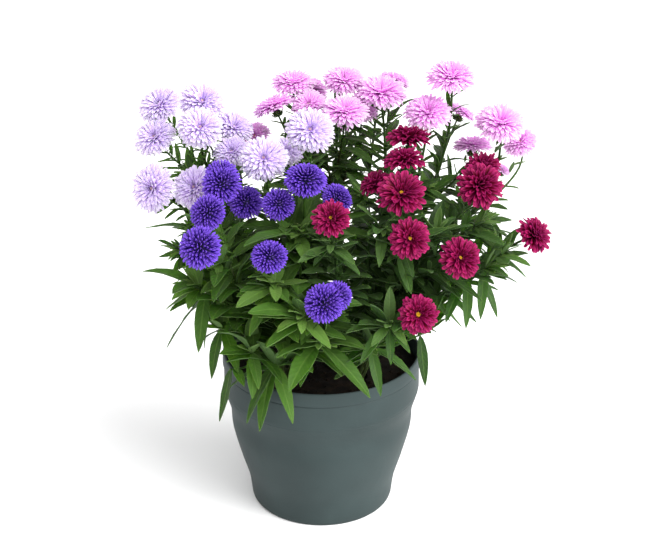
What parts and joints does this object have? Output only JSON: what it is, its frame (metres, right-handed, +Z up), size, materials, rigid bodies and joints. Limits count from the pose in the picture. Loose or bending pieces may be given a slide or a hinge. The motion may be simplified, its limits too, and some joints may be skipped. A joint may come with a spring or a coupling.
{
  "type": "potted aster",
  "caption": "Garden asters in lavender, pink, violet and crimson on leafy branching stems, growing together in one round tapered plastic pot.",
  "frame": {"origin": "centre of the pot's flat underside, on the ground", "axes": "+Z up along the pot's axis; -Y towards the front, where the picture looks from; +X to its right"},
  "size_m": [0.3845, 0.3142, 0.4242],
  "materials": {
    "pot_plastic": "matte, moulded, slate grey-green",
    "soil_peat": "loose dark peat",
    "green_lavender": "living leaf, half gloss",
    "petals_lavender": "matte petals",
    "green_pink": "living leaf, half gloss",
    "petals_pink": "matte petals",
    "green_violet": "living leaf, half gloss",
    "petals_violet": "matte petals",
    "green_crimson": "living leaf, half gloss",
    "petals_crimson": "matte petals"
  },
  "bodies": {
    "root": {"pot": "pot_plastic", "soil": "soil_peat", "plant_lavender": "green_lavender", "bloom_lavender_1": "petals_lavender", "bloom_lavender_2": "petals_lavender", "bloom_lavender_3": "petals_lavender", "bloom_lavender_4": "petals_lavender", "bloom_lavender_5": "petals_lavender", "bloom_lavender_6": "petals_lavender", "bloom_lavender_7": "petals_lavender", "bloom_lavender_8": "petals_lavender", "bloom_lavender_9": "petals_lavender", "bloom_lavender_10": "petals_lavender", "bloom_lavender_11": "petals_lavender", "bloom_lavender_12": "petals_lavender", "bloom_lavender_13": "petals_lavender", "plant_pink": "green_pink", "bloom_pink_1": "petals_pink", "bloom_pink_2": "petals_pink", "bloom_pink_3": "petals_pink", "bloom_pink_4": "petals_pink", "bloom_pink_5": "petals_pink", "bloom_pink_6": "petals_pink", "bloom_pink_7": "petals_pink", "bloom_pink_8": "petals_pink", "bloom_pink_9": "petals_pink", "bloom_pink_10": "petals_pink", "bloom_pink_11": "petals_pink", "bloom_pink_12": "petals_pink", "bloom_pink_13": "petals_pink", "bloom_pink_14": "petals_pink", "bloom_pink_15": "petals_pink", "bloom_pink_16": "petals_pink", "bloom_pink_17": "petals_pink", "bloom_pink_18": "petals_pink", "bloom_pink_19": "petals_pink", "plant_violet": "green_violet", "bloom_violet_1": "petals_violet", "bloom_violet_2": "petals_violet", "bloom_violet_3": "petals_violet", "bloom_violet_4": "petals_violet", "bloom_violet_5": "petals_violet", "bloom_violet_6": "petals_violet", "bloom_violet_7": "petals_violet", "bloom_violet_8": "petals_violet", "bloom_violet_9": "petals_violet", "plant_crimson": "green_crimson", "bloom_crimson_1": "petals_crimson", "bloom_crimson_2": "petals_crimson", "bloom_crimson_3": "petals_crimson", "bloom_crimson_4": "petals_crimson", "bloom_crimson_5": "petals_crimson", "bloom_crimson_6": "petals_crimson", "bloom_crimson_7": "petals_crimson", "bloom_crimson_8": "petals_crimson", "bloom_crimson_9": "petals_crimson", "bloom_crimson_10": "petals_crimson", "bloom_crimson_11": "petals_crimson"}
  },
  "joints": []
}
